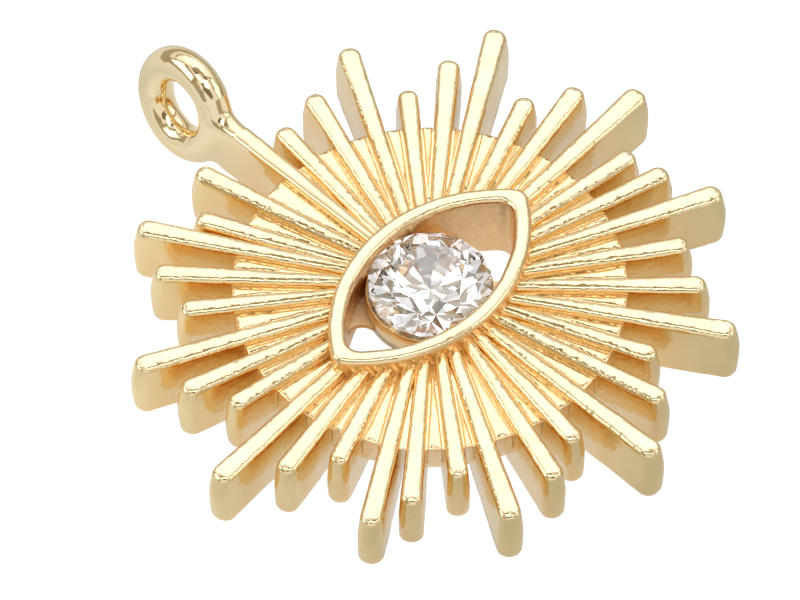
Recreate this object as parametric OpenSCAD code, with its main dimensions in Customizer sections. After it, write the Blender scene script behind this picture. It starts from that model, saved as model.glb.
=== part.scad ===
// Sun charm: a cast sunburst of thirty-six rays round an eye, with a round stone and a fixed hanging loop.
// The charm lies flat, with its loop's centre at the origin: X runs along the eye and Z up out of the front.

/* [Rays] */
// Reach of a long ray from the centre
long_reach = 10; // [9.4:0.1:10.6]
// Reach of a medium ray from the centre
medium_reach = 8.9; // [8.4:0.1:9.3]
// Reach of a short ray from the centre
short_reach = 8; // [7.6:0.1:8.3]
// Height of every ray above the back
ray_height = 2.2; // [2:0.05:2.4]
// Width that a ray would have at the centre
ray_root_width = 0.42; // [0.38:0.02:0.5]
// Width that a ray gains for each millimetre of reach
ray_spread = 0.044; // [0.036:0.002:0.046]
// Largest plan radius of the corners at a ray's tip
tip_radius = 0.4; // [0.3:0.02:0.42]

/* [Disc] */
// Radius of the disc that joins the rays
disc_radius = 6.35; // [6:0.05:6.6]
// Height of the disc's underside above the back
disc_bottom = 0.9; // [0.7:0.05:1.1]
// Height of the groove floors between rays
groove_floor = 1.72; // [1.6:0.02:1.8]
// Height of the flat wedges between rays
wedge_top = 1.95; // [1.9:0.01:2]
// Width of the groove between a wedge's top and the ray beside it
groove_width = 0.05; // [0.04:0.01:0.08]

/* [Eye] */
// Radius of the two outer arcs of the eye's rim
lid_radius = 5.5; // [5.4:0.1:5.8]
// Outer width of the rim across its middle
rim_width = 4.94; // [4.9:0.01:5]
// Thickness of the rim's wall
rim_wall = 0.55; // [0.53:0.01:0.58]
// Height of the rim's top above the back
rim_top = 2.65; // [2.6:0.05:2.8]
// How far the rim's back stands proud of the rays' backs
rim_proud = 0.1; // [0.05:0.05:0.15]
// Plan radius of the rim's outer corners
outer_corner = 0.45; // [0.3:0.05:0.5]
// Plan radius of the corners of the rim's opening
inner_corner = 0.5; // [0.3:0.05:0.55]
// Plan radius of the fillets between the foot of the stone's seat and the rim
web_fillet = 0.5; // [0.3:0.05:0.55]
// Height of those fillets
web_thickness = 0.2; // [0.1:0.05:0.4]

/* [Stone] */
// Diameter of the round stone
stone_diameter = 4; // [3.8:0.05:4.05]
// Height of the underside of the stone's girdle
girdle_height = 2; // [1.95:0.01:2.05]
// Thickness of the stone's girdle
girdle_thickness = 0.2; // [0.1:0.02:0.22]
// Play between the stone and its seat
stone_play = 0.02; // [0.01:0.01:0.03]
// How far the seat's wall stands outside the stone
seat_wall = 0.06; // [0.05:0.01:0.1]
// Width of the ledge under the stone's edge
seat_ledge = 0.2; // [0.15:0.05:0.3]
// Height of the thin lip round that ledge
seat_lip = 0.05; // [0.03:0.01:0.1]

/* [Loop] */
// Distance from the charm's centre to the loop's centre
loop_distance = 11; // [10.9:0.05:11.1]
// Height of the loop's centre above the back
loop_height = 1.3; // [1.2:0.05:1.4]
// Outer diameter of the loop
loop_outer = 4; // [3.9:0.05:4.1]
// Thickness of the loop's wire
loop_wire = 1.16; // [1.1:0.02:1.2]
// Diameter of the small straight land inside the loop
loop_hole = 1.76; // [1.72:0.01:1.8]
// Turn of the loop's ring about the line to the charm's centre
loop_twist = 14; // [10:1:18]
// Turn of the loop clockwise, seen from the front
loop_yaw = 4; // [0:1:6]

/* [Hidden] */
$fn = 96;
gold = [0.93, 0.78, 0.42];
clear = [0.93, 0.95, 0.98];

// The rays come in twelve groups of three. Each is cast a little off its even place.
ray_step = 10;
loop_ray_inset = 0.12;
family_reach = [short_reach, medium_reach, long_reach];
// Columns: degrees clockwise of its even place and millimetres of extra reach,
// for the short, the medium and the long ray of each group. The last long ray carries the loop.
GROUPS = [
    [0, -0.1, 1, -0.4, 2, -0.2],
    [2.5, -0.2, 2, 0.1, 0, 0.4],
    [1, 0.1, -0.5, 0.3, -0.5, 0.3],
    [-0.5, 0.4, -2.5, 0, -3.5, 0.1],
    [-3, 0.5, -2, 0, -1.5, 0],
    [-1, -0.2, -1, -0.1, 0.5, -0.1],
    [0.5, -0.2, 0, -0.2, 2, -0.4],
    [1, -0.3, 2, -0.2, -0.5, -0.3],
    [1, -0.3, 0.5, -0.1, -0.5, 0.3],
    [1, 0, 0, 0.1, -1, 0],
    [1, 0.1, 1, 0, 1.5, -0.3],
    [-2.5, 0, -1, -0.1, 2.5, 0],
];
ray_count = 3 * len(GROUPS);
function group(i) = GROUPS[floor((i - 1) / 3)];
function kind(i) = (i - 1) % 3;
function ray_angle(i) = 90 - ray_step * i - group(i)[2 * kind(i)];
function ray_reach(i) = i == ray_count
    ? loop_distance - loop_hole / 2 - loop_ray_inset
    : family_reach[kind(i)] + group(i)[2 * kind(i) + 1];
function ray_half_width(r) = (ray_root_width + ray_spread * r) / 2;

// A ray's flanks stand upright up to flank_start, then lean in to its rounded shoulders.
back_edge = 0.1;
flank_start = 1.2;
flank_end = ray_height - 0.12;
flank_lean = 0.06;
// Sections of a ray from its back up. Columns: height, and how far the outline is drawn in.
RAY_SECTIONS = [
    [0, back_edge],
    [back_edge, 0],
    [flank_start, 0],
    [flank_end, flank_lean],
    [ray_height - 0.04, 0.11],
    [ray_height, 0.17],
];
wedge_inset = flank_lean * (wedge_top - flank_start) / (flank_end - flank_start);
tip_steps = 4;
tip_flat = 0.02;

// The eye's outline is where two circles overlap, each centred this far from the eye's long axis.
lid_centre = lid_radius - rim_width / 2;
mid_wall_radius = lid_radius - rim_wall / 2;
opening_radius = lid_radius - rim_wall;
// Distance from the eye's centre to the middle of the rim's wall at angle a
function rim_reach(a) =
    sqrt(pow(mid_wall_radius, 2) - pow(lid_centre * cos(a), 2)) - lid_centre * abs(sin(a));

// Proportions of the stone's cut, as parts of its radius
table_part = 0.57;
break_part = 0.78;
lower_break_part = 0.3;
crown_part = 0.29;
pavilion_part = 0.84;
stone_radius = stone_diameter / 2;
table_radius = table_part * stone_radius;
break_radius = break_part * stone_radius;
lower_break_radius = lower_break_part * stone_radius;
girdle_top = girdle_height + girdle_thickness;
table_height = girdle_top + crown_part * stone_radius;
culet_height = girdle_height - pavilion_part * stone_radius;
seat_radius = stone_radius + seat_wall;
seat_hole = stone_radius - seat_ledge;
seat_top = girdle_height - pavilion_part * seat_ledge - 2 * stone_play;
groove_top = girdle_top + 6 * stone_play;

// A web fillet's centre stands this far from the eye's centre and from the centre of the lid's arc.
// Each fillet bites a little into the seat and into the rim, so that it crosses both cleanly.
web_bite = 0.01;
fillet_from_eye = seat_radius - web_bite + web_fillet;
fillet_from_arc = opening_radius + web_bite - web_fillet;
fillet_y = (pow(fillet_from_arc, 2) - pow(fillet_from_eye, 2) - pow(lid_centre, 2)) / (2 * lid_centre);
fillet_x = sqrt(pow(fillet_from_eye, 2) - pow(fillet_y, 2));
web_x = fillet_x * lid_radius / fillet_from_arc;
web_y = (fillet_y + lid_centre) * lid_radius / fillet_from_arc - lid_centre;

wire_radius = loop_wire / 2;
loop_line_radius = loop_outer / 2 - wire_radius;
loop_angle = ray_angle(ray_count);
loop_centre = [loop_distance * cos(loop_angle), loop_distance * sin(loop_angle), loop_height];
overlap = 0.2;

module casting() {
    color(gold) translate(-loop_centre) {
        for (i = [1 : ray_count]) rotate([0, 0, ray_angle(i)]) ray(rim_reach(ray_angle(i)), ray_reach(i));
        disc();
        rim_and_seat();
        loop();
    }
}

// One plan outline of a ray, from its root round its tip, drawn in by inset at height z
function ray_ring(root, reach, z, inset) =
    let (
        w_root = ray_half_width(root) - inset,
        w_tip = ray_half_width(reach),
        corner = min(tip_radius, w_tip - tip_flat),
        side = [for (k = [0 : tip_steps]) let (a = 90 * k / tip_steps) [
            reach - corner + (corner - inset) * sin(a),
            w_tip - corner + (corner - inset) * cos(a),
        ]]
    )
    concat(
        [[root, -w_root, z]],
        [for (p = side) [p.x, -p.y, z]],
        [for (k = [tip_steps : -1 : 0]) [side[k].x, side[k].y, z]],
        [[root, w_root, z]]
    );

// A closed solid through rings of the same number of points, listed from the bottom up
module loft(rings) {
    n = len(rings[0]);
    top = len(rings) - 1;
    points = [for (ring = rings) for (p = ring) p];
    sides = [for (s = [0 : top - 1]) for (k = [0 : n - 1])
        [s * n + k, (s + 1) * n + k, (s + 1) * n + (k + 1) % n, s * n + (k + 1) % n]];
    polyhedron(points, concat([[for (k = [0 : n - 1]) k]], sides, [[for (k = [n - 1 : -1 : 0]) top * n + k]]));
}

module ray(root, reach) {
    loft([for (s = RAY_SECTIONS) ray_ring(root, reach, s[0], s[1])]);
}

module lens(r) {
    intersection() {
        translate([0, -lid_centre]) circle(r);
        translate([0, lid_centre]) circle(r);
    }
}

// The overlap of two lid circles, with a round corner tangent to both at each end
module eye_outline(r, corner) {
    corner_x = sqrt(pow(r - corner, 2) - pow(lid_centre, 2));
    tangent_x = corner_x * r / (r - corner);
    intersection() {
        lens(r);
        square([2 * tangent_x, 2 * r], center = true);
    }
    for (s = [-1, 1]) translate([s * corner_x, 0]) circle(corner);
}

// The flat wedge between a ray and the next, as wide as the grooves beside it leave
module wedge_outline(gap) {
    opening = sin(gap / 2) - ray_spread / 2;
    apex = (ray_root_width / 2 - wedge_inset + groove_width) / opening;
    end = disc_radius + overlap;
    if (apex < disc_radius) polygon([[apex, 0], [end, (end - apex) * opening], [end, -(end - apex) * opening]]);
}

module disc() {
    translate([0, 0, disc_bottom]) linear_extrude(groove_floor - disc_bottom) difference() {
        circle(disc_radius);
        lens(mid_wall_radius);
    }
    translate([0, 0, disc_bottom + overlap]) linear_extrude(wedge_top - disc_bottom - overlap) difference() {
        intersection() {
            circle(disc_radius);
            for (i = [1 : ray_count]) {
                gap = (ray_angle(i) - ray_angle(i % ray_count + 1) + 360) % 360;
                rotate(ray_angle(i) - gap / 2) wedge_outline(gap);
            }
        }
        lens(mid_wall_radius);
    }
}

// The web that fills the narrow corners between the seat's foot and the rim, up to a round fillet
module web_outline() {
    difference() {
        intersection() {
            lens(mid_wall_radius);
            for (s = [-1, 1]) polygon([
                [0, 0],
                [fillet_x, s * fillet_y],
                [web_x, s * web_y],
                [web_x, s * rim_width / 2],
                [-web_x, s * rim_width / 2],
                [-web_x, s * web_y],
                [-fillet_x, s * fillet_y],
            ]);
        }
        for (sx = [-1, 1], sy = [-1, 1]) translate([sx * fillet_x, sy * fillet_y]) circle(web_fillet);
    }
}

// The rim with the round seat under its stone. A groove in the rim's wall holds the stone's girdle.
module rim_and_seat() {
    difference() {
        union() {
            translate([0, 0, -rim_proud]) linear_extrude(rim_top + rim_proud) difference() {
                eye_outline(lid_radius, outer_corner);
                eye_outline(opening_radius, inner_corner);
            }
            translate([0, 0, disc_bottom]) {
                linear_extrude(seat_top + seat_lip - disc_bottom) intersection() {
                    circle(seat_radius);
                    lens(mid_wall_radius);
                }
                linear_extrude(web_thickness) web_outline();
            }
        }
        cylinder(r = seat_hole, h = girdle_top);
        translate([0, 0, seat_top]) cylinder(r = stone_radius + stone_play, h = groove_top - seat_top);
    }
}

module loop() {
    translate(loop_centre)
        rotate([0, 0, loop_angle - 90 - loop_yaw]) rotate([0, loop_twist, 0]) rotate([0, 90, 0])
            rotate_extrude() difference() {
                translate([loop_line_radius, 0]) circle(wire_radius);
                translate([0, -loop_wire]) square([loop_hole / 2, 2 * loop_wire]);
            }
}

// A round brilliant: table, stars, kites, upper and lower girdle facets and a pointed culet
module stone() {
    crown_slope = (table_height - girdle_top) / (stone_radius - table_radius);
    pavilion_slope = (girdle_height - culet_height) / stone_radius;
    function at(r, a, z) = [r * cos(a), r * sin(a), z];
    table = [for (k = [0 : 7]) at(table_radius, 45 * k, table_height)];
    crown = [for (k = [0 : 7]) at(
        break_radius, 45 * k + 22.5, girdle_top + (stone_radius - break_radius * cos(22.5)) * crown_slope)];
    upper = [for (k = [0 : 15]) at(stone_radius, 22.5 * k, girdle_top)];
    lower = [for (k = [0 : 15]) at(stone_radius, 22.5 * k, girdle_height)];
    pavilion = [for (k = [0 : 7]) at(
        lower_break_radius, 45 * k + 22.5,
        girdle_height - (stone_radius - lower_break_radius * cos(22.5)) * pavilion_slope)];
    points = concat(table, crown, upper, lower, pavilion, [[0, 0, culet_height]]);
    function t(k) = k % 8;
    function c(k) = 8 + (k + 8) % 8;
    function u(k) = 16 + k % 16;
    function l(k) = 32 + k % 16;
    function p(k) = 48 + (k + 8) % 8;
    culet = 56;
    faces = concat(
        [[for (k = [7 : -1 : 0]) t(k)]],
        [for (k = [0 : 7]) [t(k), t(k + 1), c(k)]],
        [for (k = [0 : 7]) [t(k), c(k), u(2 * k), c(k - 1)]],
        [for (k = [0 : 7]) [c(k), u(2 * k + 1), u(2 * k)]],
        [for (k = [0 : 7]) [c(k), u(2 * k + 2), u(2 * k + 1)]],
        [for (k = [0 : 15]) [u(k), u(k + 1), l(k + 1), l(k)]],
        [for (k = [0 : 7]) [p(k), l(2 * k), l(2 * k + 1)]],
        [for (k = [0 : 7]) [p(k), l(2 * k + 1), l(2 * k + 2)]],
        [for (k = [0 : 7]) [culet, p(k - 1), l(2 * k), p(k)]]
    );
    color(clear) translate(-loop_centre) polyhedron(points, faces);
}

casting();
stone();
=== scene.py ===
import math

import bmesh
import bpy
from mathutils import Matrix, Vector, noise

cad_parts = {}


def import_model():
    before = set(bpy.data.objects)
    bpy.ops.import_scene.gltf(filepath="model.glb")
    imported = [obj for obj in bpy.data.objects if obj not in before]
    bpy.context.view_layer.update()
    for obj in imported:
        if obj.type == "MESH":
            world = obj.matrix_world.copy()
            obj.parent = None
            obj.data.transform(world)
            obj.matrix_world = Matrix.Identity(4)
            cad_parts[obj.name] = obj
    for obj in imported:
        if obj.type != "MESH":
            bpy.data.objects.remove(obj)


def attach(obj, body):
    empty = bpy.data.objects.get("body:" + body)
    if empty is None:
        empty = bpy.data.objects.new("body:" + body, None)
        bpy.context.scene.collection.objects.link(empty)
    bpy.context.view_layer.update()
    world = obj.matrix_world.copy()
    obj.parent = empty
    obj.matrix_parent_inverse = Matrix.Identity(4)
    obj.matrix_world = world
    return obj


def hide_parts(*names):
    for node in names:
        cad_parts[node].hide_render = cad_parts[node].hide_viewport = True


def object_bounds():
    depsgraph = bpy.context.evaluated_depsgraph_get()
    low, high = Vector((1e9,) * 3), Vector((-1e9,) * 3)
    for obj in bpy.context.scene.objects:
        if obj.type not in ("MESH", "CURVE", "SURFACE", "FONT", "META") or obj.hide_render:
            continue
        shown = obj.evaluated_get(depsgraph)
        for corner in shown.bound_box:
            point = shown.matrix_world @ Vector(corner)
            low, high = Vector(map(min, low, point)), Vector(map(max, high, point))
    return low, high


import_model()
cad_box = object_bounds()
MM = 0.001

# Sizes in millimetres, the same as the CAD model's. The charm is drawn round the middle of its sunburst
# with its back at height 0, then moved so that the loop's centre is the origin.
RAY_HEIGHT = 2.2
RAY_ROOT_WIDTH, RAY_SPREAD = 0.42, 0.044
TIP_RADIUS, TIP_FLAT = 0.4, 0.02
DISC_RADIUS, DISC_BOTTOM, GROOVE_FLOOR, WEDGE_TOP = 6.35, 0.9, 1.72, 1.95
GROOVE_WIDTH = 0.05
LID_RADIUS, RIM_WIDTH, RIM_WALL, RIM_TOP, RIM_PROUD = 5.5, 4.94, 0.55, 2.65, 0.1
OUTER_CORNER, INNER_CORNER = 0.45, 0.5
LID_CENTRE = LID_RADIUS - RIM_WIDTH / 2
STONE_RADIUS, GIRDLE_HEIGHT, GIRDLE_THICKNESS = 2.0, 2.0, 0.2
# The stone's cut, as parts of its radius: the table, the corners between it and the girdle, those between
# the girdle and the culet, the crown's height and the pavilion's depth. Only the scene turns the stone,
# so that its facets fall as in the photo.
TABLE_PART, BREAK_PART, LOWER_BREAK_PART, CROWN_PART, PAVILION_PART = 0.57, 0.78, 0.3, 0.29, 0.84
STONE_TURN = 11.0
SEAT_RADIUS, SEAT_HOLE, SEAT_TOP, SEAT_LIP = 2.06, 1.8, 1.84, 0.05
WEB_THICKNESS, WEB_FILLET, WEB_BITE = 0.2, 0.5, 0.01
LOOP_DISTANCE, LOOP_HEIGHT = 11.0, 1.3
LOOP_LINE, WIRE_RADIUS = 1.42, 0.58
# In degrees, how far the loop is twisted about its ray and turned away from it
LOOP_TWIST, LOOP_YAW = 14.0, 4.0

# The uneven cast surface, which the CAD model leaves out: how long its lumps are, and how high.
# On the polished loop they have only this part of their height.
BROAD_LUMP, BROAD_HEIGHT = 0.9, 0.015
SMALL_LUMP, SMALL_HEIGHT = 0.3, 0.008
LOOP_UNEVEN = 0.4
# The lumps' noise would start from the clock. With this seed they are the same each run.
LUMP_SEED = 1795705552
noise.seed_set(LUMP_SEED)
# The rounded edges of the rays, the rim, the disc, the wedges, the stone's seat and its webs
BACK_EDGE, SHOULDER = 0.1, 0.18
RIM_BACK_EDGE, RIM_EDGE = 0.05, 0.19
DISC_EDGE, WEDGE_EDGE = 0.08, 0.08
SEAT_EDGE, SEAT_LIP_WIDTH, WEB_EDGE = 0.03, 0.04, 0.03
# In how many steps the small edges, the wedges' edges, the rays' shoulders and the rim's edges are rounded
EDGE_STEPS, WEDGE_STEPS, SHOULDER_STEPS, RIM_STEPS = 3, 4, 6, 7
# How far the tops of the rays and wedges bulge, and how much further a ray reaches half way up than at its
# top and back
RAY_BULGE, TIP_CROWN = 0.022, 0.09
# How far a ray's flanks lean in towards its shoulders, from about which height up, and how far above that
# they lean in by half
RAY_LEAN, LEAN_START, LEAN_HALF_WAY = 0.05, 1.2, 0.45
# The length of the faces along a ray, and how much is cut off a wedge's sharp point
MESH_STEP = 0.14
POINT_BLUNT = 0.1
# Where the wedges start inside the disc, and the narrow row of faces that keeps the next ones flat
WEDGE_FOOT, FLAT_MARGIN = 1.2, 0.02
# How far the disc's edge stays within the wedges' ends, the height of a row of faces up that edge, and the
# width of the outermost rows on its front and back
DISC_INSET, DISC_EDGE_ROW, DISC_MARGIN = 0.02, 1.45, 0.3
# The plating partly fills the narrow grooves beside the wedges, up to this height
SOFT_FLOOR = 1.88
# A web's outline within the walls: how far it goes into the rim, and the ends of its inner side
WEB_INTO_RIM = 0.25
WEB_ENDS = [(0.7, 2.1), (0.7, 1.85)]
# The solder's smoothing: how far from the sunburst's middle, how far it reaches, in which part of that it is
# strongest, and how often it is repeated there
SOLDER_DISTANCE, SOLDER_REACH, SOLDER_CORE, SOLDER_PASSES = 9.6, 1.9, 0.75, 80
# The size of the cubes in which the loop and its ray are merged, and how often all of them are smoothed
MELT_CUBE, MELT_PASSES = 0.04, 3
# Points of one piece that are nearer than this are one point
SAME_POINT = 1e-5

# Columns: degrees clockwise of its even place and millimetres of extra reach,
# for the short, the medium and the long ray of each group. The last long ray carries the loop.
GROUPS = [
    (0, -0.1, 1, -0.4, 2, -0.2),
    (2.5, -0.2, 2, 0.1, 0, 0.4),
    (1, 0.1, -0.5, 0.3, -0.5, 0.3),
    (-0.5, 0.4, -2.5, 0, -3.5, 0.1),
    (-3, 0.5, -2, 0, -1.5, 0),
    (-1, -0.2, -1, -0.1, 0.5, -0.1),
    (0.5, -0.2, 0, -0.2, 2, -0.4),
    (1, -0.3, 2, -0.2, -0.5, -0.3),
    (1, -0.3, 0.5, -0.1, -0.5, 0.3),
    (1, 0, 0, 0.1, -1, 0),
    (1, 0.1, 1, 0, 1.5, -0.3),
    (-2.5, 0, -1, -0.1, 2.5, 0),
]
RAY_COUNT = 3 * len(GROUPS)
# The degrees from one even place to the next, and how far the short, the medium and the long rays reach
RAY_STEP = 10
FAMILY_REACH = (8.0, 8.9, 10.0)


def ray_angle(i):
    """The direction of ray i, in radians. The rays are numbered clockwise from 1."""
    kind = (i - 1) % 3
    return math.radians(90 - RAY_STEP * i - GROUPS[(i - 1) // 3][2 * kind])


def ray_reach(i):
    """How far ray i reaches from the sunburst's middle. The last one ends in the loop's wire."""
    kind = (i - 1) % 3
    if i == RAY_COUNT:
        return LOOP_DISTANCE - LOOP_LINE
    return FAMILY_REACH[kind] + GROUPS[(i - 1) // 3][2 * kind + 1]


LOOP_ANGLE = ray_angle(RAY_COUNT)
LOOP_ALONG, LOOP_ACROSS = math.cos(LOOP_ANGLE), math.sin(LOOP_ANGLE)
LOOP_CENTRE = Vector((LOOP_DISTANCE * LOOP_ALONG, LOOP_DISTANCE * LOOP_ACROSS, LOOP_HEIGHT))


# Mesh helpers

def lumpy(p, uneven):
    """Where a point of the even surface lies on the cast one, in millimetres. uneven scales the lumps."""
    broad, small = noise.noise_vector(p / BROAD_LUMP), noise.noise_vector(p / SMALL_LUMP)
    return p + (broad * BROAD_HEIGHT + small * SMALL_HEIGHT) * uneven


def piece(name, bm, material, uneven=1.0, cut=False):
    """A finished object on the charm's body, from a bmesh in millimetres. A cut stone has flat faces."""
    bmesh.ops.remove_doubles(bm, verts=bm.verts, dist=SAME_POINT)
    bmesh.ops.recalc_face_normals(bm, faces=bm.faces)
    for v in bm.verts:
        v.co = (lumpy(v.co, uneven) - LOOP_CENTRE) * MM
    me = bpy.data.meshes.new(name)
    bm.to_mesh(me)
    bm.free()
    for p in me.polygons:
        p.use_smooth = not cut
    o = bpy.data.objects.new(name, me)
    bpy.context.scene.collection.objects.link(o)
    me.materials.append(material)
    if not cut:
        w = o.modifiers.new("flat faces stay flat", "WEIGHTED_NORMAL")
        w.weight = 100
        w.mode = "FACE_AREA_WITH_ANGLE"
    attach(o, "root")
    return o


def bridge(bm, a, b):
    """A row of faces between two rings of points."""
    n = len(a)
    for k in range(n):
        bm.faces.new((a[k], a[(k + 1) % n], b[(k + 1) % n], b[k]))


def joined(bm, rings):
    """Adds rings of points, each joined to the next, and returns them. One longer than the first is cut."""
    n = len(rings[0])
    layers = [[bm.verts.new(p) for p in ring[:n]] for ring in rings]
    for a, b in zip(layers, layers[1:]):
        bridge(bm, a, b)
    return layers


def loft(bm, rings, rise=0.0):
    """Joins rings whose halves mirror each other and closes both ends, the last one raised in its middle."""
    layers = joined(bm, rings)
    strip_cap(bm, layers[0], 0.0)
    strip_cap(bm, layers[-1], rise)


def strip_cap(bm, ring, rise):
    """Closes a ring whose halves mirror each other, by a row of points along its middle line."""
    m = len(ring) // 2
    left, right = ring[:m], list(reversed(ring[m:]))
    up = Vector((0, 0, rise))
    middle = [bm.verts.new((a.co + b.co) / 2 + up) for a, b in zip(left[1:-1], right[1:-1])]
    for k, (a, b) in enumerate(zip(middle, middle[1:]), start=1):
        bm.faces.new((left[k], left[k + 1], b, a))
        bm.faces.new((a, b, right[k + 1], right[k]))
    for edge, point in (((left[0], left[1]), middle[0]), ((right[0], left[0]), middle[0]),
                        ((right[1], right[0]), middle[0]), ((left[-2], left[-1]), middle[-1]),
                        ((left[-1], right[-1]), middle[-1]), ((right[-1], right[-2]), middle[-1])):
        bm.faces.new((*edge, point))


def closed_sweep(bm, rings):
    """Joins rings into a closed tube of rings, the last to the first."""
    layers = joined(bm, rings)
    bridge(bm, layers[-1], layers[0])


def prism(bm, rings):
    """Joins closed rings and closes both ends with one face each."""
    layers = joined(bm, rings)
    bm.faces.new(list(reversed(layers[0])))
    bm.faces.new(layers[-1])


def lathe(bm, profile, steps=96):
    """A closed ring turned from a closed profile of radius and height."""
    angles = [2 * math.pi * k / steps for k in range(steps)]
    closed_sweep(bm, [[(r * math.cos(t), r * math.sin(t), z) for t in angles] for r, z in profile])


def quarter(radius, steps, lean=0.0):
    """Insets and (negative) drops of a rounded edge of that radius, from the flank to the top face."""
    out = []
    for k in range(steps + 1):
        t = math.pi / 2 * k / steps
        out.append((lean + radius * (1 - math.cos(t)), -radius * (1 - math.sin(t))))
    return out


# Rays

def ray_sections():
    """Height and inset of a ray's outline, from its back edge up its flank to its rounded shoulder."""
    flank_rows = 4
    rows = [(-d, i) for i, d in reversed(quarter(BACK_EDGE, EDGE_STEPS))]
    rows += [(LEAN_START * k / flank_rows + BACK_EDGE, 0.0) for k in range(1, flank_rows)]
    rows += [(LEAN_START + BACK_EDGE, 0.0), (LEAN_START + LEAN_HALF_WAY, RAY_LEAN / 2)]
    rows += [(RAY_HEIGHT + d, i) for i, d in quarter(SHOULDER, SHOULDER_STEPS, RAY_LEAN)]
    return rows


def ray_half_width(r):
    """Half the width of a ray at distance r from the middle."""
    return (RAY_ROOT_WIDTH + RAY_SPREAD * r) / 2


def mirrored(side):
    """A closed outline from its upper half, given from one end to the other."""
    return [(x, -y) for x, y in side] + [(x, y) for x, y in reversed(side)]


def ray_side(a, reach, inset, hand, tip_steps=7):
    """One side of a ray at angle a, from the middle of the rim's wall to its tip. hand is 1 or -1."""
    w_tip = ray_half_width(reach)
    corner = min(TIP_RADIUS, w_tip - TIP_FLAT)
    w_root = ray_half_width(rim_reach(a)) - inset
    turn = w_root / rim_reach(a)
    root = rim_reach(a + hand * turn) * math.cos(turn)
    end = reach - corner
    n = round((end - rim_reach(a)) / MESH_STEP)
    side = [(root + (end - root) * k / n, w_root + (w_tip - inset - w_root) * k / n) for k in range(n)]
    for k in range(tip_steps + 1):
        t = math.pi / 2 * k / tip_steps
        side.append((end + (corner - inset) * math.sin(t), w_tip - corner + (corner - inset) * math.cos(t)))
    return [(x, hand * y) for x, y in side]


def rim_reach(a):
    """How far the middle of the rim's wall is from the eye's middle, at angle a."""
    r = LID_RADIUS - RIM_WALL / 2
    return math.sqrt(r * r - (LID_CENTRE * math.cos(a)) ** 2) - LID_CENTRE * abs(math.sin(a))


def add_ray(bm, i):
    """Ray i, with a tip that crowns half way up."""
    a = ray_angle(i)
    c, s = math.cos(a), math.sin(a)
    # A row that reaches further can have two more points. loft leaves out its last two, in the rim's wall.
    rings = []
    for z, inset in ray_sections():
        reach = ray_reach(i) + TIP_CROWN * (0.5 - (2 * z / RAY_HEIGHT - 1) ** 2)
        outline = ray_side(a, reach, inset, -1) + ray_side(a, reach, inset, 1)[::-1]
        rings.append([(x * c - y * s, x * s + y * c, z) for x, y in outline])
    loft(bm, rings, RAY_BULGE)


# Eye

def eye_outline(radius, corner, z, lid_steps=64, corner_steps=12):
    """Points of the almond outline, anticlockwise from the right-hand corner's lower end."""
    cx = math.sqrt((radius - corner) ** 2 - LID_CENTRE ** 2)
    b = math.atan2(LID_CENTRE, cx)
    pts = []
    for k in range(corner_steps + 1):
        t = -b + 2 * b * k / corner_steps
        pts.append((cx + corner * math.cos(t), corner * math.sin(t), z))
    for k in range(1, lid_steps):
        t = b + (math.pi - 2 * b) * k / lid_steps
        pts.append((radius * math.cos(t), -LID_CENTRE + radius * math.sin(t), z))
    for k in range(corner_steps + 1):
        t = math.pi - b + 2 * b * k / corner_steps
        pts.append((-cx + corner * math.cos(t), corner * math.sin(t), z))
    for k in range(1, lid_steps):
        t = math.pi + b + (math.pi - 2 * b) * k / lid_steps
        pts.append((radius * math.cos(t), LID_CENTRE + radius * math.sin(t), z))
    return pts


def rim_rings():
    """The rim's section swept round the eye: up the outside, over the flat top and down the inside."""
    back, wall_rows = RIM_BACK_EDGE, 6
    inner = LID_RADIUS - RIM_WALL
    wall_height = RIM_TOP - RIM_EDGE + RIM_PROUD - back
    up = [(d, -RIM_PROUD - z) for d, z in reversed(quarter(back, EDGE_STEPS))]
    up += [(0.0, -RIM_PROUD + back + wall_height * k / wall_rows) for k in range(1, wall_rows)]
    up += [(d, RIM_TOP + z) for d, z in quarter(RIM_EDGE, RIM_STEPS)]
    rings = [eye_outline(LID_RADIUS - d, OUTER_CORNER - d, z) for d, z in up]
    rings += [eye_outline(inner + d, INNER_CORNER + d, z) for d, z in reversed(up)]
    return rings


def seat_profile():
    """Radius and height of the seat's section: a short tube with a thin lip round its ledge."""
    edge, lip = SEAT_EDGE, SEAT_RADIUS - SEAT_LIP_WIDTH
    return [
        (SEAT_HOLE, DISC_BOTTOM), (SEAT_RADIUS - edge, DISC_BOTTOM), (SEAT_RADIUS, DISC_BOTTOM + edge),
        (SEAT_RADIUS, SEAT_TOP - edge), (SEAT_RADIUS - edge / 2, SEAT_TOP), (lip, SEAT_TOP),
        (lip, SEAT_TOP - SEAT_LIP), (SEAT_HOLE, SEAT_TOP - SEAT_LIP),
    ]


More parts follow.
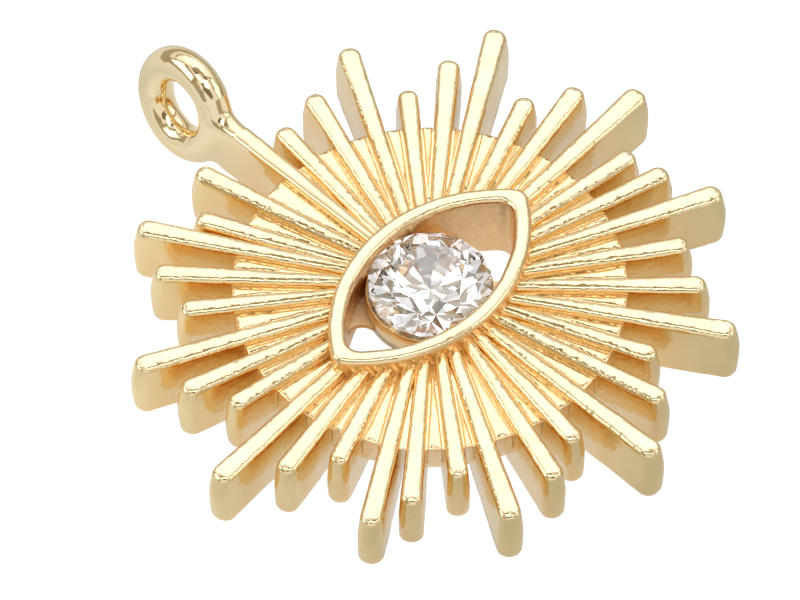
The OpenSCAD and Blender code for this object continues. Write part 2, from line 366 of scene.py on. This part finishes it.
def add_webs(bm, steps=12):
    """The thin webs in the four narrow corners between the seat's foot and the rim, up to a round fillet."""
    opening = LID_RADIUS - RIM_WALL
    from_eye, from_arc = SEAT_RADIUS - WEB_BITE + WEB_FILLET, opening + WEB_BITE - WEB_FILLET
    # The fillet's centre, and the angles at which it meets the seat and the rim
    fy = (from_arc ** 2 - from_eye ** 2 - LID_CENTRE ** 2) / (2 * LID_CENTRE)
    fx = math.sqrt(from_eye ** 2 - fy ** 2)
    start = math.atan2(-fy, -fx)
    end = math.atan2(fy + LID_CENTRE, fx)
    arc = [start - (2 * math.pi + start - end) * k / steps for k in range(steps + 1)]
    reach = (opening + WEB_INTO_RIM) / from_arc
    walls = [(fx * reach, (fy + LID_CENTRE) * reach - LID_CENTRE)] + WEB_ENDS
    top = DISC_BOTTOM + WEB_THICKNESS
    rows = [(DISC_BOTTOM, WEB_EDGE), (DISC_BOTTOM + WEB_EDGE, 0), (top - WEB_EDGE, 0), (top, WEB_EDGE)]
    for sx in (-1, 1):
        for sy in (-1, 1):
            rings = []
            for z, edge in rows:
                r = WEB_FILLET + edge
                outline = [(fx + r * math.cos(t), fy + r * math.sin(t)) for t in arc] + walls
                rings.append([(sx * x, sy * y, z) for x, y in outline])
            prism(bm, rings)


# Disc

def wedge_point(gap, inset):
    """Where the two sides of a wedge between two rays meet, and how fast they open."""
    opening = math.sin(gap / 2) - RAY_SPREAD / 2
    ray_inset = RAY_LEAN * (WEDGE_TOP - LEAN_START) / (RAY_HEIGHT - SHOULDER - LEAN_START)
    return (RAY_ROOT_WIDTH / 2 - ray_inset + GROOVE_WIDTH + inset) / opening, opening


def wedge_outline(gap, mid, z, inset, sides=22, steps=4):
    """A wedge between two rays, from its point or the rim's wall to the disc's edge."""
    apex, opening = wedge_point(gap, inset)
    radius = DISC_RADIUS - inset
    lo, hi = 0.0, gap
    # The half angle at which the wedge's straight side meets the disc's edge, found by halving
    for _ in range(40):
        half = (lo + hi) / 2
        if radius * math.sin(half) < (radius * math.cos(half) - apex) * opening:
            lo = half
        else:
            hi = half
    start = max(apex + POINT_BLUNT, *(rim_reach(mid + t) for t in (-gap / 6, 0, gap / 6)))
    end = radius * math.cos(half)
    side = [(x, (x - apex) * opening) for x in (start + (end - start) * k / sides for k in range(sides))]
    # The arc ends half a step short of the middle line, where the mirrored side takes over
    arc = [half * (1 - k / (steps + 0.5)) for k in range(steps + 1)]
    side += [(radius * math.cos(t), radius * math.sin(t)) for t in arc]
    c, s = math.cos(mid), math.sin(mid)
    return [(x * c - y * s, x * s + y * c, z) for x, y in mirrored(side)]


def add_wedges(bm):
    """A flat wedge in each gap between two rays that is wide enough for one."""
    rows = [(WEDGE_FOOT, 0.0), (WEDGE_FOOT + FLAT_MARGIN, 0.0), (GROOVE_FLOOR, 0.0)]
    rows += [(WEDGE_TOP + d, k) for k, d in quarter(WEDGE_EDGE, WEDGE_STEPS)]
    for i in range(1, RAY_COUNT + 1):
        gap = (ray_angle(i) - ray_angle(i % RAY_COUNT + 1)) % (2 * math.pi)
        mid = ray_angle(i) - gap / 2
        if wedge_point(gap, WEDGE_EDGE)[0] + POINT_BLUNT > DISC_RADIUS:
            continue
        loft(bm, [wedge_outline(gap, mid, z, k) for z, k in rows], RAY_BULGE)


def add_disc(bm, steps=240):
    """The disc from the rim's wall to its edge, a little within the wedges' ends."""
    radius = DISC_RADIUS - DISC_INSET
    back = [(radius - d, DISC_BOTTOM - z) for d, z in reversed(quarter(DISC_EDGE, EDGE_STEPS))]
    front = [(radius - d, SOFT_FLOOR + z) for d, z in quarter(DISC_EDGE / 2, EDGE_STEPS)]
    profile = [(0.0, DISC_BOTTOM), (radius - DISC_MARGIN, DISC_BOTTOM)] + back
    profile += [(radius, WEDGE_FOOT), (radius, DISC_EDGE_ROW)] + front
    profile += [(radius - DISC_MARGIN, SOFT_FLOOR), (0.0, SOFT_FLOOR)]
    rings = []
    for r, z in profile:
        ring = []
        for k in range(steps):
            a = 2 * math.pi * k / steps
            reach = max(r, rim_reach(a))
            ring.append((reach * math.cos(a), reach * math.sin(a), z))
        rings.append(ring)
    closed_sweep(bm, rings)


# Loop

def loop_matrix():
    """The loop's place and turn. Its ring is drawn flat round the origin."""
    turn = Matrix.Rotation(LOOP_ANGLE - math.pi / 2 - math.radians(LOOP_YAW), 4, "Z")
    twist = Matrix.Rotation(math.radians(LOOP_TWIST), 4, "Y")
    stand = Matrix.Rotation(math.pi / 2, 4, "Y")
    return Matrix.Translation(LOOP_CENTRE) @ turn @ twist @ stand


def add_torus(bm, around=96, section=40):
    """The loop's ring of round wire."""
    m = loop_matrix()
    angles = [2 * math.pi * k / around for k in range(around)]
    rings = []
    for j in range(section):
        t = 2 * math.pi * j / section
        r, z = LOOP_LINE + WIRE_RADIUS * math.cos(t), WIRE_RADIUS * math.sin(t)
        rings.append([m @ Vector((r * math.cos(a), r * math.sin(a), z)) for a in angles])
    closed_sweep(bm, rings)


# The solder between the loop and its ray. Columns: distance from the middle, half width,
# lowest and highest point, and the radius of its edges.
NECK = [
    (8.6, 0.38, 0.04, 2.10, 0.18),
    (8.9, 0.42, 0.03, 2.14, 0.22),
    (9.2, 0.47, 0.03, 2.19, 0.32),
    (9.5, 0.53, 0.04, 2.26, 0.42),
    (9.85, 0.56, 0.12, 2.35, 0.5),
]


def neck_ring(row, steps=6):
    """A rounded rectangle across the loop's ray, from a row of NECK."""
    r, half, low, high, edge = row
    corners = [(half - edge, low + edge, -90), (half - edge, high - edge, 0),
               (edge - half, high - edge, 90), (edge - half, low + edge, 180)]
    c, s = LOOP_ALONG, LOOP_ACROSS
    pts = []
    for y, z, start in corners:
        for k in range(steps + 1):
            t = math.radians(start + 90 * k / steps)
            across = y + edge * math.cos(t)
            pts.append((r * c - across * s, r * s + across * c, z + edge * math.sin(t)))
    return pts


def melted(bm):
    """The outer skin of what overlaps in a bmesh, with the creases at the neck filled as if by solder."""
    me = bpy.data.meshes.new("melting")
    bm.to_mesh(me)
    bm.free()
    o = bpy.data.objects.new("melting", me)
    bpy.context.scene.collection.objects.link(o)
    skin = o.modifiers.new("skin", "REMESH")
    skin.mode = "VOXEL"
    skin.voxel_size = MELT_CUBE
    result = bpy.data.meshes.new_from_object(o.evaluated_get(bpy.context.evaluated_depsgraph_get()))
    bpy.data.objects.remove(o)
    bpy.data.meshes.remove(me)
    out = bmesh.new()
    out.from_mesh(result)
    bpy.data.meshes.remove(result)
    centre = Vector((SOLDER_DISTANCE * LOOP_ALONG, SOLDER_DISTANCE * LOOP_ACROSS, LOOP_HEIGHT))
    soft = [v for v in out.verts if (v.co - centre).length < SOLDER_REACH]
    core = [v for v in soft if (v.co - centre).length < SOLDER_REACH * SOLDER_CORE]
    all_axes = {"use_axis_x": True, "use_axis_y": True, "use_axis_z": True}
    for verts, passes in ((out.verts, MELT_PASSES), (soft, SOLDER_PASSES // 3), (core, SOLDER_PASSES)):
        for _ in range(passes):
            bmesh.ops.smooth_vert(out, verts=list(verts), factor=0.5, **all_axes)
    return out


def loop_and_ray():
    """The loop and the ray that carries it, soldered together."""
    bm = bmesh.new()
    add_torus(bm)
    add_ray(bm, RAY_COUNT)
    prism(bm, [neck_ring(row) for row in NECK])
    return melted(bm)


# Stone

def stone_faces():
    """A round brilliant of 57 facets and a girdle of 16 flats, as points and faces."""
    R = STONE_RADIUS
    g0, g1 = GIRDLE_HEIGHT, GIRDLE_HEIGHT + GIRDLE_THICKNESS
    table_r, table_z = TABLE_PART * R, g1 + CROWN_PART * R
    slope = (table_z - g1) / (R - table_r)
    eighth, sixteenth = 45, 22.5
    flat = math.cos(math.radians(sixteenth))
    crown_r, pavilion_r = BREAK_PART * R, LOWER_BREAK_PART * R
    crown_z = g1 + (R - crown_r * flat) * slope
    pavilion_z = g0 - (R - pavilion_r * flat) * PAVILION_PART

    def at(r, a, z):
        a = math.radians(a + STONE_TURN)
        return (r * math.cos(a), r * math.sin(a), z)

    def ring(first, count):
        """From a point's place in a ring to its number among all points."""
        return lambda k: first + k % count

    pts = [at(table_r, eighth * k, table_z) for k in range(8)]
    pts += [at(crown_r, eighth * k + sixteenth, crown_z) for k in range(8)]
    pts += [at(R, sixteenth * k, g1) for k in range(16)]
    pts += [at(R, sixteenth * k, g0) for k in range(16)]
    pts += [at(pavilion_r, eighth * k + sixteenth, pavilion_z) for k in range(8)]
    pts += [(0, 0, g0 - PAVILION_PART * R)]
    table, crown, upper, lower, pavilion = ring(0, 8), ring(8, 8), ring(16, 16), ring(32, 16), ring(48, 8)
    culet = len(pts) - 1
    # The table, the stars, the kites, the upper girdle facets, the girdle, the lower girdle facets, the mains
    faces = [[table(k) for k in reversed(range(8))]]
    faces += [[table(k), table(k + 1), crown(k)] for k in range(8)]
    faces += [[table(k), crown(k), upper(2 * k), crown(k - 1)] for k in range(8)]
    faces += [[crown(k), upper(2 * k + 1), upper(2 * k)] for k in range(8)]
    faces += [[crown(k), upper(2 * k + 2), upper(2 * k + 1)] for k in range(8)]
    faces += [[upper(k), upper(k + 1), lower(k + 1), lower(k)] for k in range(16)]
    faces += [[pavilion(k), lower(2 * k), lower(2 * k + 1)] for k in range(8)]
    faces += [[pavilion(k), lower(2 * k + 1), lower(2 * k + 2)] for k in range(8)]
    faces += [[culet, pavilion(k - 1), lower(2 * k), pavilion(k)] for k in range(8)]
    return pts, faces


# Node helpers

def node_material(name):
    """A new material, its nodes and its shader."""
    m = bpy.data.materials.new(name)
    m.use_nodes = True
    return m, m.node_tree, m.node_tree.nodes["Principled BSDF"]


def feed(nt, v, socket):
    """Gives an input a value of its own or another node's output."""
    if isinstance(v, bpy.types.NodeSocket):
        nt.links.new(v, socket)
    else:
        socket.default_value = v


def calc(nt, operation, *values):
    """The result of one calculation. Each value is a number or another node's output."""
    n = nt.nodes.new("ShaderNodeMath")
    n.operation = operation
    for v, socket in zip(values, n.inputs):
        feed(nt, v, socket)
    return n.outputs[0]


def blend(nt, value, span, at_low, at_high):
    """at_low before the span and at_high after it, each a number or another node's output."""
    n = nt.nodes.new("ShaderNodeMapRange")
    feed(nt, value, n.inputs["Value"])
    for key, v in zip(("From Min", "From Max", "To Min", "To Max"), (*span, at_low, at_high)):
        feed(nt, v, n.inputs[key])
    return n.outputs["Result"]


def mixed(nt, factor, a, b):
    """Colour a where the factor is 0 and colour b where it is 1."""
    n = nt.nodes.new("ShaderNodeMix")
    n.data_type = "RGBA"
    for key, v in (("Factor", factor), ("A", a), ("B", b)):
        feed(nt, v, n.inputs[key])
    return n.outputs["Result"]


def ramp(nt, value, stops):
    """The colour for a value, between stops of rising position and their colours."""
    n = nt.nodes.new("ShaderNodeValToRGB")
    first, *between, last = stops
    for element, (position, colour) in zip(n.color_ramp.elements, (first, last)):
        element.position, element.color = position, colour
    for position, colour in between:
        n.color_ramp.elements.new(position).color = colour
    feed(nt, value, n.inputs["Fac"])
    return n.outputs["Color"]


def noise_texture(nt, scale, detail):
    """A noise of so many waves per metre in the charm's own space."""
    n = nt.nodes.new("ShaderNodeTexNoise")
    n.inputs["Scale"].default_value, n.inputs["Detail"].default_value = scale, detail
    feed(nt, nt.nodes.new("ShaderNodeTexCoord").outputs["Object"], n.inputs["Vector"])
    return n.outputs["Fac"]


def parts_of(nt, vector):
    """The X, Y and Z of a vector."""
    n = nt.nodes.new("ShaderNodeSeparateXYZ")
    feed(nt, vector, n.inputs[0])
    return n.outputs


# Materials

# The metal's fine grain and its broader patches of colour, and the stone's painted fire, in waves per metre.
# In metres, how deep the grain is, and how far round a point the occlusion looks that places the painted
# recess light and shade.
GRAIN_WAVES, PATCH_WAVES, PAINTED_FIRE_WAVES = 4200, 1400, 1300
GRAIN_DEPTH, PAINTED_RECESS_REACH = 0.00002, 0.0014
# The grain is weaker on the flattest tops and on the steepest flanks. These spans and the next two are of
# flatness, which is the size of the normal's z: 0 on an upright flank and 1 on a flat top.
FLAT_SPAN, FLAT_GRAIN = (0.9, 0.995), 0.6
STEEP_SPAN, STEEP_GRAIN = (0.1, 0.4), 0.45
# Where the flanks' colour and their dullness give way to the tops'
COLOUR_SPAN, DULL_SPAN = (0.3, 0.9), (0.3, 0.95)
# Where the grain's noise changes the flanks' dullness, and between which parts of it
GRAIN_SPAN, GRAIN_DULL = (0.3, 0.7), (0.6, 1.3)
# The tops' two shades
GOLD_STOPS = ((0.3, (0.90, 0.74, 0.45, 1)), (0.7, (0.94, 0.80, 0.53, 1)))
# How open a place is, from 0 deep in a recess to 1 in the open, for the painted bounce light and shade in
# recesses: at its two painted colours, and where these give way to the metal's own
PAINTED_RECESS_STOPS, PAINTED_RECESS_SPAN = (0.28, 0.55), (0.4, 0.85)
# The stone's refraction, and its painted fire: tints painted into its colour in place of the coloured light
# its facets throw
STONE_IOR = 2.15
PAINTED_FIRE_STOPS = ((0.36, (0.89, 0.93, 1.0, 1)), (0.5, (0.97, 0.985, 1.0, 1)), (0.64, (1.0, 0.95, 0.95, 1)))


def gold_material(name, flank_roughness, relief, flank_colour_and_painted_bounce, painted_recess_light, top_roughness=0.07):
    """Pale gold plating over cast metal: polished on top, duller on its flanks, with painted orange bounce
    light and shade in its recesses.
    """
    m, nt, b = node_material(name)
    feed(nt, 1.0, b.inputs["Metallic"])
    grain, patches = noise_texture(nt, GRAIN_WAVES, 1), noise_texture(nt, PATCH_WAVES, 2)
    geometry = nt.nodes.new("ShaderNodeNewGeometry")
    flatness = calc(nt, "ABSOLUTE", parts_of(nt, geometry.outputs["Normal"])["Z"])

    bump = nt.nodes.new("ShaderNodeBump")
    feed(nt, GRAIN_DEPTH, bump.inputs["Distance"])
    on_top = blend(nt, flatness, FLAT_SPAN, relief, relief * FLAT_GRAIN)
    on_flank = blend(nt, flatness, STEEP_SPAN, STEEP_GRAIN, 1.0)
    feed(nt, calc(nt, "MULTIPLY", on_top, on_flank), bump.inputs["Strength"])
    feed(nt, grain, bump.inputs["Height"])
    feed(nt, bump.outputs["Normal"], b.inputs["Normal"])

    # Painted bounce light and shade: occlusion tints the recesses orange, and on the rim darker
    painted_recess_ao = nt.nodes.new("ShaderNodeAmbientOcclusion")
    painted_recess_ao.samples = 4
    feed(nt, PAINTED_RECESS_REACH, painted_recess_ao.inputs["Distance"])
    openness = painted_recess_ao.outputs["AO"]
    flank = blend(nt, flatness, COLOUR_SPAN, 1.0, 0.0)
    metal = mixed(nt, flank, ramp(nt, patches, GOLD_STOPS), flank_colour_and_painted_bounce)
    painted_recess_colour = ramp(nt, openness, list(zip(PAINTED_RECESS_STOPS, painted_recess_light)))
    feed(nt, mixed(nt, blend(nt, openness, PAINTED_RECESS_SPAN, 1.0, 0.0), metal, painted_recess_colour), b.inputs["Base Color"])

    dull = blend(nt, flatness, DULL_SPAN, flank_roughness, 0.0)
    uneven = blend(nt, grain, GRAIN_SPAN, *GRAIN_DULL)
    feed(nt, calc(nt, "MULTIPLY_ADD", dull, uneven, top_roughness), b.inputs["Roughness"])
    return m


def stone_material():
    """A colourless cut stone, with painted fire: a little blue and peach painted into its colour for the
    light that its facets throw.
    """
    m, nt, b = node_material("stone")
    for key, v in (("Roughness", 0.0), ("IOR", STONE_IOR), ("Transmission Weight", 1.0)):
        feed(nt, v, b.inputs[key])
    feed(nt, ramp(nt, noise_texture(nt, PAINTED_FIRE_WAVES, 1), PAINTED_FIRE_STOPS), b.inputs["Base Color"])
    return m


# Painted bounce light in the recesses: the colours of the deepest recesses and of the shallower ones. On the
# rim the deepest is a darker painted shade.
PAINTED_BOUNCE = ((0.94, 0.80, 0.56, 1), (0.97, 0.61, 0.23, 1))
RIM_PAINTED_BOUNCE = ((0.72, 0.42, 0.18, 1), (0.98, 0.67, 0.33, 1))
DISC_PAINTED_BOUNCE = ((0.97, 0.86, 0.64, 1), (0.95, 0.60, 0.26, 1))
# How much duller than its tops each gold is on its flanks, how strong its grain is and its flanks' colour.
# The rim, disc and web golds are shaded copies of the cast gold: their orange flank colours are painted
# bounce light and shade.
gold = gold_material("cast gold", 0.1, 1.4, (0.88, 0.71, 0.39, 1), PAINTED_BOUNCE)
rim_gold = gold_material("rim gold", 0.22, 0.9, (0.97, 0.67, 0.36, 1), RIM_PAINTED_BOUNCE)
disc_gold = gold_material("disc gold", 0.14, 1.4, (0.92, 0.56, 0.26, 1), DISC_PAINTED_BOUNCE)
web_gold = gold_material("unpolished gold with painted shade", 0.1, 1.4, (0.88, 0.52, 0.24, 1), PAINTED_BOUNCE, top_roughness=0.5)
bright_gold = gold_material("polished gold", 0.0, 0.15, (0.89, 0.76, 0.49, 1), PAINTED_BOUNCE)
clear = stone_material()


# The charm's pieces

bm = bmesh.new()
for i in range(1, RAY_COUNT):
    add_ray(bm, i)
rays = piece("rays", bm, gold)

bm = bmesh.new()
closed_sweep(bm, rim_rings())
rim = piece("eye_rim", bm, rim_gold)

bm = bmesh.new()
lathe(bm, seat_profile())
seat = piece("stone_seat", bm, gold)

bm = bmesh.new()
add_webs(bm)
webs = piece("seat_webs", bm, web_gold)

bm = bmesh.new()
add_disc(bm)
disc = piece("disc", bm, disc_gold)

bm = bmesh.new()
add_wedges(bm)
wedges = piece("wedges", bm, disc_gold)

loop = piece("hanging_loop", loop_and_ray(), bright_gold, uneven=LOOP_UNEVEN)

bm = bmesh.new()
pts, faces = stone_faces()
vs = [bm.verts.new(p) for p in pts]
for f in faces:
    bm.faces.new([vs[k] for k in f])
stone = piece("brilliant", bm, clear, uneven=0.0, cut=True)

for o in (rays, rim, seat, webs, disc, wedges, loop):
    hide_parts("casting")
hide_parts("stone")


# Floor, room and camera

# The photo's viewpoint, measured from the sunburst: how far the charm is turned, the elevation, the distance
# and how far the sunburst's middle stands right of and above the middle of the image
CAMERA_TURN, CAMERA_ELEVATION, CAMERA_DISTANCE = 47.91, 54.33, 775.0
CAMERA_RIGHT, CAMERA_UP = 0.9565, -0.731
PIXELS_PER_MM, PHOTO_WIDTH, SENSOR_WIDTH = 31.25, 800, 36

# The room's even light, and what stands before it, painted one over the other: dark edges and bright panels.
# Columns: azimuth from the camera's right, anticlockwise seen from above, and its half width; elevation and
# its half height; softness, all in degrees; and how bright it is.
ROOM_LIGHT = 0.9
PANELS = [
    (90, 80, 4, 12, 6, 0.45),
    (90, 180, 84, 15, 3, 0.2),
    (90, 180, 90, 5, 3, 0.9),
    (90, 66, 55, 24, 3, 0.4),
    (90, 60, 52, 17, 4, 1.15),
    (90, 32, 54, 9, 10, 1.6),
    (270, 75, 73, 8, 2, 2.2),
    (270, 28, 54, 8, 3, 0.22),
    (184, 29, 33, 21, 7, 0.4),
    (182, 21, 34, 12, 4, 2.0),
    (0, 24, 36, 18, 2, 0.3),
    (0, 19, 36, 13, 2, 1.5),
    (228, 10, 22, 14, 3, 0.4),
    (318, 14, 18, 9, 3, 0.45),
]
# The colour of the light where it is dim and where it is bright
LIGHT_STOPS = ((0.35, (1.0, 0.84, 0.56, 1)), (0.9, (1, 1, 1, 1)))

# Painted light and shade on the floor, which only the metal and the stone see: how strongly the floor glows
# on the camera's left, on its right, where less light falls, under the disc and under the stone, where the
# lower glow is a painted shadow
LEFT_GLOW, RIGHT_GLOW, DISC_GLOW, STONE_GLOW = 0.72, 0.38, 0.55, 0.2
# In metres, where one glow gives way to the next: from left to right, and outwards from the sunburst's middle
SIDE_SPAN = (-0.009, 0.007)
STONE_SPAN, DISC_SPAN = (0.0012, 0.0026), (0.007, 0.009)
# Beyond the tips of the rays the painted glow fades, as painted shade, to this part of itself, round a point
# that lies this many millimetres from the sunburst's middle towards the loop
FADE_SPAN, FADED, FADE_SHIFT = (0.0102, 0.013), 0.62, 1.6
# How bright the floor is for the camera
FLOOR_WHITE = 0.93
FLOOR_GREY, FLOOR_ROUGHNESS = (0.35, 0.35, 0.35, 1), 0.9
# In metres, how far below the charm the floor lies, and half its size
FLOOR_GAP, FLOOR_HALF = 0.00001, 2.0


def world():
    """A pale studio with bright soft panels and darker gaps between them, as directions round the charm."""
    w = bpy.data.worlds.new("studio")
    bpy.context.scene.world = w
    w.use_nodes = True
    nt = w.node_tree
    back = nt.nodes["Background"]
    turn = nt.nodes.new("ShaderNodeVectorRotate")
    turn.rotation_type = "Z_AXIS"
    feed(nt, math.radians(CAMERA_TURN), turn.inputs["Angle"])
    feed(nt, nt.nodes.new("ShaderNodeTexCoord").outputs["Generated"], turn.inputs["Vector"])
    xyz = parts_of(nt, turn.outputs["Vector"])
    degrees = 180 / math.pi
    azimuth = calc(nt, "MULTIPLY", calc(nt, "ARCTAN2", xyz["Y"], xyz["X"]), degrees)
    elevation = calc(nt, "MULTIPLY", calc(nt, "ARCSINE", xyz["Z"]), degrees)

    def inside(value, centre, half, soft):
        """1 within half of centre and 0 beyond half + soft."""
        away = calc(nt, "ABSOLUTE", calc(nt, "SUBTRACT", value, centre))
        patch = blend(nt, away, (half, half + soft), 1, 0)
        patch.node.interpolation_type = "SMOOTHSTEP"
        return patch

    light = ROOM_LIGHT
    for az, az_half, el, el_half, soft, level in PANELS:
        turned = calc(nt, "WRAP", calc(nt, "SUBTRACT", azimuth, az), 180, -180)
        patch = calc(nt, "MULTIPLY", inside(turned, 0, az_half, soft), inside(elevation, el, el_half, soft))
        rest = calc(nt, "MULTIPLY", calc(nt, "SUBTRACT", 1, patch), light)
        light = calc(nt, "ADD", rest, calc(nt, "MULTIPLY", patch, level))
    feed(nt, light, back.inputs["Strength"])
    feed(nt, ramp(nt, light, LIGHT_STOPS), back.inputs["Color"])


def floor():
    """A white floor under the charm, with a painted glow of its own: painted light and shade that the metal
    and the stone reflect.
    """
    z = cad_box[0].z - FLOOR_GAP
    s = FLOOR_HALF
    me = bpy.data.meshes.new("floor")
    me.from_pydata([(-s, -s, z), (s, -s, z), (s, s, z), (-s, s, z)], [], [(0, 1, 2, 3)])
    o = bpy.data.objects.new("floor", me)
    bpy.context.scene.collection.objects.link(o)
    m, nt, b = node_material("floor")
    looks = (("Base Color", FLOOR_GREY), ("Roughness", FLOOR_ROUGHNESS), ("Emission Color", (1, 1, 1, 1)))
    for key, v in looks:
        feed(nt, v, b.inputs[key])
    here = nt.nodes.new("ShaderNodeTexCoord").outputs["Object"]

    def measured(operation, other):
        """The position on the floor, measured along a direction or from a place."""
        n = nt.nodes.new("ShaderNodeVectorMath")
        n.operation = operation
        feed(nt, here, n.inputs[0])
        feed(nt, other, n.inputs[1])
        return n.outputs["Value"]

    middle = -LOOP_CENTRE * MM
    shifted = middle * (1 - FADE_SHIFT / LOOP_DISTANCE)
    across = measured("DOT_PRODUCT", camera_axes()[0])
    from_middle = measured("DISTANCE", (middle.x, middle.y, z))
    from_shifted = measured("DISTANCE", (shifted.x, shifted.y, z))
    # The floor's glow is painted light and shade, seen only in reflections; the camera sees even white.
    beside = blend(nt, across, SIDE_SPAN, LEFT_GLOW, RIGHT_GLOW)
    under = blend(nt, from_middle, STONE_SPAN, STONE_GLOW, DISC_GLOW)
    near = blend(nt, from_middle, DISC_SPAN, under, beside)
    glow = calc(nt, "MULTIPLY", near, blend(nt, from_shifted, FADE_SPAN, 1.0, FADED))
    seen = nt.nodes.new("ShaderNodeLightPath").outputs["Is Camera Ray"]
    feed(nt, blend(nt, seen, (0.0, 1.0), glow, FLOOR_WHITE), b.inputs["Emission Strength"])
    me.materials.append(m)


def camera_axes():
    """The photo's directions to the right, upwards and away from the camera."""
    p, e = math.radians(CAMERA_TURN), math.radians(CAMERA_ELEVATION)
    right = Vector((math.cos(p), -math.sin(p), 0))
    up = Vector((math.sin(p) * math.sin(e), math.cos(p) * math.sin(e), math.cos(e)))
    away = Vector((math.sin(p) * math.cos(e), math.cos(p) * math.cos(e), -math.sin(e)))
    return right, up, away


def make_camera():
    """The photo's camera."""
    right, up, away = camera_axes()
    centre = -LOOP_CENTRE
    place = centre - right * CAMERA_RIGHT - up * CAMERA_UP - away * CAMERA_DISTANCE
    cam = bpy.data.cameras.new("camera")
    cam.sensor_width = SENSOR_WIDTH
    cam.lens = PIXELS_PER_MM * CAMERA_DISTANCE / PHOTO_WIDTH * SENSOR_WIDTH
    cam.clip_start, cam.clip_end = 0.001, 50
    o = bpy.data.objects.new("camera", cam)
    bpy.context.scene.collection.objects.link(o)
    o.matrix_world = Matrix((
        (right.x, up.x, -away.x, place.x * MM),
        (right.y, up.y, -away.y, place.y * MM),
        (right.z, up.z, -away.z, place.z * MM),
        (0, 0, 0, 1),
    ))
    bpy.context.scene.camera = o


world()
floor()
make_camera()
bpy.context.scene.view_settings.view_transform = "Standard"
bpy.context.scene.cycles.max_bounces = 24
bpy.context.scene.cycles.glossy_bounces = 16
bpy.context.scene.cycles.transmission_bounces = 20
